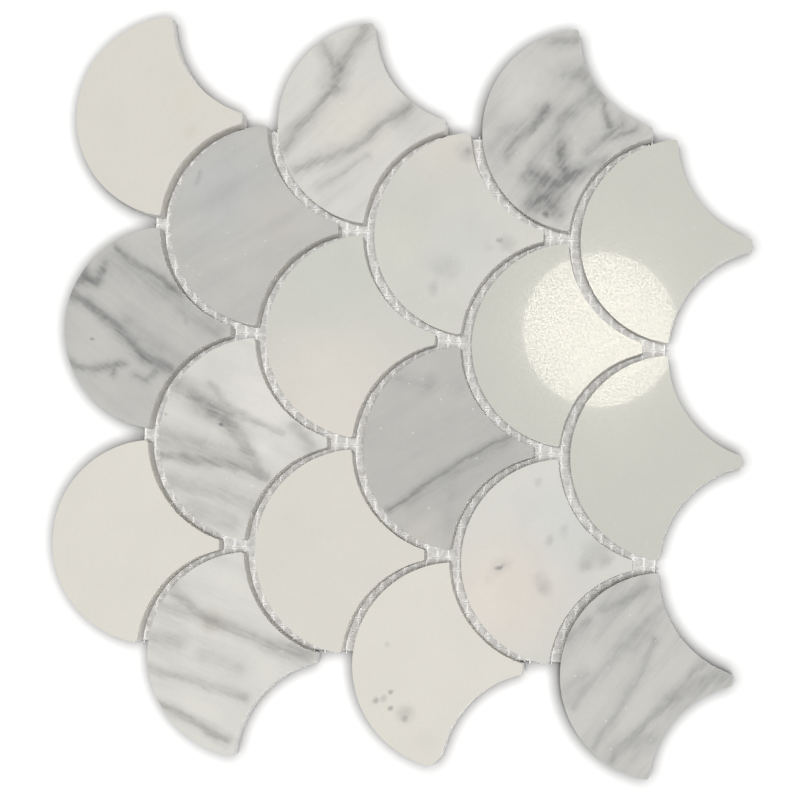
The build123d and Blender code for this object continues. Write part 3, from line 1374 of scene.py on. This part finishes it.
@dataclass
class BackingNet:
    """The leno net behind the stones: flat wefts held by twisted pairs of thin warps, in resin.

    Attributes:
        weft_finish: How the wefts are finished.
        warp_finish: How the warps are finished.
        film_finish: How the film of glue in the meshes is finished.
        mesh_pitch: Between two yarns.
        weft_width: Width of a weft between two crossings.
        weft_depth: Its thickness.
        warp_radius: Half the thickness of one of the paired yarns.
        warp_swing: How far a paired yarn swings to each side.
        web: From a yarn's middle to where the film sags.
        film_depth: Thickness of the film.
        film_height: Height of its underside.
        film_round: How far the corners of its lower middles are cut back.
        film_sag: How much lower those middles hang.
        pinch: Width and thickness of a weft at a crossing, as shares of those between.
        flatness: Width of a paired yarn as a share of its thickness.
        twist_steps: Rings of a paired yarn in each mesh.
        weft_sides: Facets round a weft.
        warp_sides: Facets round a paired yarn.
        low: The net's lower corner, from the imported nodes.
        high: Its upper corner.
        weft_count: How many wefts it has.
        warp_count: How many pairs of warps it has.
    """

    weft_finish: NetFinish
    warp_finish: NetFinish
    film_finish: FilmFinish
    mesh_pitch: float = 4.0 * MM
    weft_width: float = 0.70 * MM
    weft_depth: float = 0.30 * MM
    warp_radius: float = 0.085 * MM
    warp_swing: float = 0.18 * MM
    web: float = 0.52 * MM
    film_depth: float = 0.06 * MM
    film_height: float = 0.10 * MM
    film_round: float = 0.75 * MM
    film_sag: float = 0.05 * MM
    pinch: Pair = (0.74, 0.92)
    flatness: float = 1.3
    twist_steps: int = 4
    weft_sides: int = 8
    warp_sides: int = 5
    low: Vector = field(init=False)
    high: Vector = field(init=False)
    weft_count: int = field(init=False)
    warp_count: int = field(init=False)

    def __post_init__(self) -> None:
        """Takes the net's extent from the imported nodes, where the warps reach past the wefts along X."""
        low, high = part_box("net_weft")
        warp_low, warp_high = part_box("net_warp")
        self.low = Vector((warp_low.x, low.y, low.z))
        self.high = Vector((warp_high.x, high.y, warp_high.z))
        self.weft_count = round((high.x - low.x) / self.mesh_pitch) + 1
        self.warp_count = round((warp_high.y - warp_low.y) / self.mesh_pitch) + 1

    def build(self) -> None:
        """Models and dresses the yarns and the film."""
        weft = self.weft_finish.material("net_weft_yarn", Vector((0, 1, 0)))
        warp = self.warp_finish.material("net_warp_yarn", Vector((1, 0, 0)))
        film = self.film_finish.material("net_glue_film")
        finished_piece("net_weft_yarns", self._wefts(), weft, ["net_weft"])
        finished_piece("net_warp_yarns", self._warps(), warp, ["net_warp"])
        finished_piece("net_film", self._film(), film)

    def _yarn(self, shape: bmesh.types.BMesh, sides: int, rings: Sequence[tuple[Vector, Vector]]) -> None:
        """Draws one yarn as a chain of rings.

        Args:
            shape: The mesh to draw in.
            sides: Corners of a ring.
            rings: The centre of each ring and its size along X, Y and Z.
        """
        lengthwise = (rings[-1][0] - rings[0][0]).normalized()
        turn = Vector((0, 0, 1)).rotation_difference(lengthwise).to_matrix().to_4x4()
        made = bmesh.ops.create_circle(shape, cap_ends=True, segments=sides, radius=1.0, matrix=turn)
        ring = made["verts"]
        edges = list(dict.fromkeys(edge for vert in ring for edge in vert.link_edges))
        unit_ring = [vert.co.copy() for vert in ring]
        self._set_ring(ring, unit_ring, *rings[0])
        for centre, size in rings[1:]:
            grown = bmesh.ops.extrude_edge_only(shape, edges=edges)["geom"]
            edges = only(bmesh.types.BMEdge, grown)
            self._set_ring(only(bmesh.types.BMVert, grown), unit_ring, centre, size)
        bmesh.ops.contextual_create(shape, geom=edges)

    @staticmethod
    def _set_ring(
        ring: Sequence[bmesh.types.BMVert], unit_ring: Sequence[Vector], centre: Vector, size: Vector
    ) -> None:
        """Puts the vertices of a ring in place.

        Args:
            ring: The ring's vertices.
            unit_ring: The ring of radius 1 that they follow.
            centre: The ring's middle.
            size: Its half size along X, Y and Z.
        """
        for vert, unit in zip(ring, unit_ring):
            vert.co = centre + unit * size

    def _repeated(self, shape: bmesh.types.BMesh, count: int, way: Vector) -> bmesh.types.BMesh:
        """Repeats a shape at the net's pitch, centred.

        Args:
            shape: The shape to repeat, at the middle of the net.
            count: How many there are in all.
            way: The way they follow each other.

        Returns:
            The same mesh with all the copies.
        """
        first = shape.verts[:] + shape.edges[:] + shape.faces[:]
        bmesh.ops.translate(shape, vec=way * (-(count - 1) / 2 * self.mesh_pitch), verts=shape.verts)
        for index in range(1, count):
            copy = bmesh.ops.duplicate(shape, geom=first)["geom"]
            moved = only(bmesh.types.BMVert, copy)
            bmesh.ops.translate(shape, vec=way * (index * self.mesh_pitch), verts=moved)
        return smoothed(shape)

    def _wefts(self) -> bmesh.types.BMesh:
        """Models the wefts, pinched at each crossing.

        Returns:
            All the wefts.
        """
        shape = bmesh.new()
        half_meshes = range(1 - self.warp_count, self.warp_count)
        stations = [self.low.y, *(index * self.mesh_pitch / 2 for index in half_meshes), self.high.y]
        middle = (self.low.z + self.high.z) / 2
        rings = []
        for index, y in enumerate(stations):
            wide, thick = self.pinch if index % 2 else (1.0, 1.0)
            size = Vector((self.weft_width * wide / 2, 0.0, self.weft_depth * thick / 2))
            rings.append((Vector((0.0, y, middle)), size))
        self._yarn(shape, self.weft_sides, rings)
        return self._repeated(shape, self.weft_count, Vector((1.0, 0.0, 0.0)))

    def _warps(self) -> bmesh.types.BMesh:
        """Models the pairs of warps, which twist half a turn in each mesh and grip the wefts.

        Returns:
            All the warps.
        """
        shape = bmesh.new()
        length = self.high.x - self.low.x
        middle = (self.low.z + self.high.z) / 2
        lift = (self.high.z - self.low.z) / 2 - self.warp_radius
        size = Vector((0.0, self.warp_radius * self.flatness, self.warp_radius))
        count = round(length / self.mesh_pitch * self.twist_steps)
        for half_turn in (0.0, math.pi):
            rings = []
            for index in range(count + 1):
                x = (index / count - 0.5) * length
                twist = math.pi * x / self.mesh_pitch + half_turn
                y = self.warp_swing * math.sin(twist)
                rings.append((Vector((x, y, middle + lift * math.cos(twist))), size))
            self._yarn(shape, self.warp_sides, rings)
        return self._repeated(shape, self.warp_count, Vector((0.0, 1.0, 0.0)))

    def _film(self) -> bmesh.types.BMesh:
        """Models the film of glue, which hangs a little lower in the middle of each mesh.

        Returns:
            The film.
        """
        shape = bmesh.new()
        across, down = self.weft_count - 1, self.warp_count - 1
        size = Matrix.Diagonal((across * self.mesh_pitch, down * self.mesh_pitch, 1.0, 1.0))
        bmesh.ops.create_grid(shape, x_segments=across, y_segments=down, size=0.5, matrix=size)
        cells = shape.faces[:]
        bmesh.ops.inset_individual(shape, faces=cells, thickness=self.web, use_even_offset=True)
        corners = list(dict.fromkeys(vert for face in cells for vert in face.verts))
        bevelled(shape, corners, self.film_round, affect="VERTICES", segments=1)
        meshes = [face for face in shape.faces if self._is_middle(face)]
        sunk = list(dict.fromkeys(vert for face in meshes for vert in face.verts))
        bmesh.ops.translate(shape, vec=(0.0, 0.0, -self.film_sag), verts=sunk)
        bmesh.ops.solidify(shape, geom=shape.faces[:], thickness=self.film_depth)
        lowest = min(vert.co.z for vert in shape.verts)
        rise = self.low.z + self.film_height - lowest
        bmesh.ops.translate(shape, vec=(0.0, 0.0, rise), verts=shape.verts)
        bmesh.ops.recalc_face_normals(shape, faces=shape.faces)
        return shape

    @staticmethod
    def _is_middle(face: bmesh.types.BMFace) -> bool:
        """Whether a face is the middle of a mesh, which has more corners than the web round it."""
        web_corners = 6
        return len(face.verts) > web_corners


@dataclass
class GlueDabs:
    """Small dabs of glue that were pressed out into the joints.

    Attributes:
        finish: How the glue is finished.
        count: Dabs along each head.
        slack: What opens the joint at a neck.
        radius: Radius of the smallest dab and of the largest.
        place: Where the nearest and the farthest lie, as shares of the joint from the head.
        flatness: Height of the flattest dab and of the fullest, as a share of its radius.
        oval: Length and width of a dab, as shares of its radius.
        seed: Start of the random draws.
    """

    finish: GlueFinish
    count: int = 14
    slack: float = 2.8 * MM
    radius: Pair = (0.22 * MM, 0.62 * MM)
    place: Pair = (0.35, 0.80)
    flatness: Pair = (0.25, 0.5)
    oval: Pair = (1.5, 0.8)
    seed: int = 7

    def build(self, stones: Sequence[FanStone]) -> None:
        """Models the dabs beside the heads that lie over the net.

        Args:
            stones: The stones to put them beside.
        """
        draw = random.Random(self.seed)
        net_low, net_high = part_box("net_weft")
        shape = bmesh.new()
        for stone in stones:
            horn = stone.horn()
            first = math.atan2(horn.y, horn.x)
            for _ in range(self.count):
                angle = first + draw.random() * 2.0 * (math.pi - first)
                radius = draw.uniform(*self.radius)
                reach = stone.head_radius + draw.uniform(*self.place) * self._joint(stone, angle)
                at = stone.origin + Vector((math.cos(angle), math.sin(angle), 0.0)) * reach
                flat = draw.uniform(*self.flatness)
                turn = draw.uniform(0.0, math.pi)
                if net_low.x < at.x < net_high.x and net_low.y < at.y < net_high.y:
                    self._dab(shape, at, radius, flat, turn)
        finished_piece("glue_dabs", smoothed(shape), self.finish.material("dried_glue"))

    def _joint(self, stone: FanStone, angle: float) -> float:
        """Measures the joint between a head and the cove that it nests in.

        Args:
            stone: The stone with the head.
            angle: The way from the head's centre, in radians.

        Returns:
            The joint's width that way.
        """
        along = -self.slack * math.cos(angle)
        aside = self.slack * math.sin(angle)
        return along + math.sqrt((stone.head_radius + stone.cove_joint) ** 2 - aside**2) - stone.head_radius

    def _dab(self, shape: bmesh.types.BMesh, at: Vector, radius: float, flat: float, turn: float) -> None:
        """Adds a flattened dab.

        Args:
            shape: The mesh to add to.
            at: Where it sits, on top of the net.
            radius: Its radius.
            flat: Its height as a share of its radius.
            turn: How it is turned, in radians.
        """
        size = Matrix.Diagonal((radius * self.oval[0], radius * self.oval[1], radius * flat, 1.0))
        place = Matrix.Translation(at) @ Matrix.Rotation(turn, 4, "Z") @ size
        bmesh.ops.create_icosphere(shape, subdivisions=1, radius=1.0, matrix=place)


@dataclass
class Studio:
    """The white floor with a painted shadow round the stones, the soft light and the camera.

    Attributes:
        floor_half: Half the floor's side.
        camera_at: Where the camera stands.
        camera_target: The point that it looks at, on the polished faces.
        camera_roll: How far it is turned about its own axis, in degrees.
        focal_px: Its focal length in pixels of the picture.
        picture_px: The picture's side in pixels.
        sensor: The sensor's side in millimetres.
        sky: Strength of the even light from all round.
        key: Strength of the light from above, as a share of full light.
        key_spread: Angle over which it is spread, in degrees.
        key_from: The way to the middle of that light.
        fill: Strength of the softer light that reaches the walls of the joints.
        fill_spread: Angle over which that is spread, in degrees.
        fill_from: The way to the middle of it.
        floor_white: How white the floor is.
        contact_reach: How far from the stones the floor is in their shade.
        contact_shade: How much darker that shade is than the lamps make it.
        contact_lean: The way that the shade leans from.
        contact_rays: Rays that the shade is found by.
        floor_bounce: How white the floor is for the light that it throws back.
        lamp_at: Where the small round lamp hangs that the polish reflects.
        lamp_aim: The point under it where its reflection shows.
        lamp_radius: The lamp's radius.
        lamp_glow: The lamp's brightness, where 1 is white.
        lamp_tint: The lamp's colour.
    """

    floor_half: float = 4.0
    camera_at: Vector = Vector((0.11872, -0.06537, 1.09759))
    camera_target: Vector = Vector((0.00049, -0.00302, 0.0125))
    camera_roll: float = 2.914
    focal_px: float = 2977.3
    picture_px: float = 800.0
    sensor: float = 36.0
    sky: float = 0.25
    key: float = 0.485
    key_spread: float = 9.0
    key_from: Vector = Vector((0.10, -0.06, 1.0))
    fill: float = 0.325
    fill_spread: float = 30.0
    fill_from: Vector = Vector((0.33, -0.22, 1.0))
    floor_white: float = 0.97
    contact_reach: float = 6.3 * MM
    contact_shade: float = 1.3
    contact_lean: Vector = Vector((0.15, -0.11, 1.0))
    contact_rays: int = 12
    floor_bounce: float = 0.7
    lamp_at: Vector = Vector((0.0342, 0.1015, 0.9125))
    lamp_aim: Vector = Vector((0.0725, 0.0258, 0.0125))
    lamp_radius: float = 0.0516
    lamp_glow: float = 10.6
    lamp_tint: Colour = (1.0, 0.935, 0.80)

    def build(self) -> None:
        """Sets the stage."""
        self._floor()
        self._world()
        self._sun("key", self.key, self.key_spread, self.key_from)
        self._sun("fill", self.fill, self.fill_spread, self.fill_from)
        self._lamp()
        self._camera()
        bpy.context.scene.view_settings.view_transform = "Standard"

    def _floor(self) -> None:
        """Lays the floor, with the stones' contact shadow painted on where the camera sees it."""
        shape = bmesh.new()
        bmesh.ops.create_grid(shape, x_segments=1, y_segments=1, size=self.floor_half)
        data = bpy.data.meshes.new("floor")
        shape.to_mesh(data)
        shape.free()
        graph, material = Graph.of_material("white_floor")
        seen = graph.node("ShaderNodeLightPath", output="Is Camera Ray")
        lean = graph.node("ShaderNodeVectorMath", {"operation": "NORMALIZE"}, {0: tuple(self.contact_lean)})
        reach = {"Distance": self.contact_reach, "Normal": lean}
        near = graph.node("ShaderNodeAmbientOcclusion", {"samples": self.contact_rays}, reach, "AO")
        # Painted shadow: seen by the camera, the floor is darkened near the stones by ambient occlusion.
        painted_shadow = self.floor_white * (1.0 - (1.0 - near) * self.contact_shade)
        white = self.floor_bounce + seen * (painted_shadow - self.floor_bounce)
        paper_and_painted_shadow = graph.mix(white, (0.0, 0.0, 0.0), (1.0, 1.0, 1.0))
        matt = graph.node("ShaderNodeBsdfDiffuse", None, {"Color": paper_and_painted_shadow})
        graph.node("ShaderNodeOutputMaterial", None, {"Surface": matt})
        data.materials.append(material)
        floor = bpy.data.objects.new("floor", data)
        bpy.context.scene.collection.objects.link(floor)

    def _world(self) -> None:
        """Lights the sheet evenly from all round, in front of a white background."""
        world = bpy.data.worlds.new("studio")
        world.use_nodes = True
        graph = Graph(world.node_tree)
        camera = graph.node("ShaderNodeLightPath", output="Is Camera Ray")
        glossy = graph.node("ShaderNodeLightPath", output="Is Glossy Ray")
        through = graph.node("ShaderNodeLightPath", output="Is Transmission Ray")
        seen = camera.most(glossy).most(through)
        strength = self.sky + seen * (1.0 - self.sky)
        light = {"Color": (1.0, 1.0, 1.0, 1.0), "Strength": strength}
        sky = graph.node("ShaderNodeBackground", None, light)
        graph.node("ShaderNodeOutputWorld", None, {"Surface": sky})
        bpy.context.scene.world = world

    def _sun(self, name: str, strength: float, spread: float, way: Vector) -> None:
        """Hangs a wide light far above, which the polish doesn't mirror.

        Args:
            name: The light's name.
            strength: Its share of full light on a face turned to it.
            spread: Angle over which it is spread, in degrees.
            way: The way to its middle.
        """
        data = bpy.data.lights.new(name, "SUN")
        data.energy = strength * math.pi
        data.angle = math.radians(spread)
        light = bpy.data.objects.new(name, data)
        light.rotation_mode = "QUATERNION"
        light.rotation_quaternion = way.to_track_quat("Z", "Y")
        light.visible_glossy = False
        bpy.context.scene.collection.objects.link(light)

    def _lamp(self) -> None:
        """Hangs the round lamp whose reflection shows in the polish."""
        data = bpy.data.lights.new("lamp", "AREA")
        data.shape = "DISK"
        data.size = 2.0 * self.lamp_radius
        data.energy = self.lamp_glow * math.pi * math.pi * self.lamp_radius**2
        data.color = self.lamp_tint
        light = bpy.data.objects.new("lamp", data)
        light.location = self.lamp_at
        light.rotation_mode = "QUATERNION"
        light.rotation_quaternion = (self.lamp_aim - self.lamp_at).to_track_quat("-Z", "Y")
        bpy.context.scene.collection.objects.link(light)

    def _camera(self) -> None:
        """Stands the camera where the picture was taken from."""
        data = bpy.data.cameras.new("camera")
        data.sensor_width = self.sensor
        data.lens = self.sensor * self.focal_px / self.picture_px
        camera = bpy.data.objects.new("camera", data)
        forward = (self.camera_target - self.camera_at).normalized()
        level = forward.cross(Vector((0.0, 1.0, 0.0))).normalized()
        upright = level.cross(forward)
        roll = math.radians(self.camera_roll)
        right = level * math.cos(roll) + upright * math.sin(roll)
        up = upright * math.cos(roll) - level * math.sin(roll)
        turn = Matrix((right, up, -forward)).transposed()
        camera.matrix_world = Matrix.Translation(self.camera_at) @ turn.to_4x4()
        bpy.context.scene.collection.objects.link(camera)
        bpy.context.scene.camera = camera


def main() -> None:
    """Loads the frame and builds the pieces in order."""
    logging.basicConfig(level=logging.INFO, format="%(name)s %(message)s")
    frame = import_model()
    LOG.info("frame: %d nodes", len(frame["nodes"]))
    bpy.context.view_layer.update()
    stones = StoneField(MarbleFinish()).build()
    grey_yarn = NetFinish(resin=(0.66, 0.655, 0.64), shadow=(0.50, 0.50, 0.49))
    BackingNet(NetFinish(), grey_yarn, FilmFinish()).build()
    GlueDabs(GlueFinish()).build(stones)
    Studio().build()


if __name__ == "__main__":
    main()
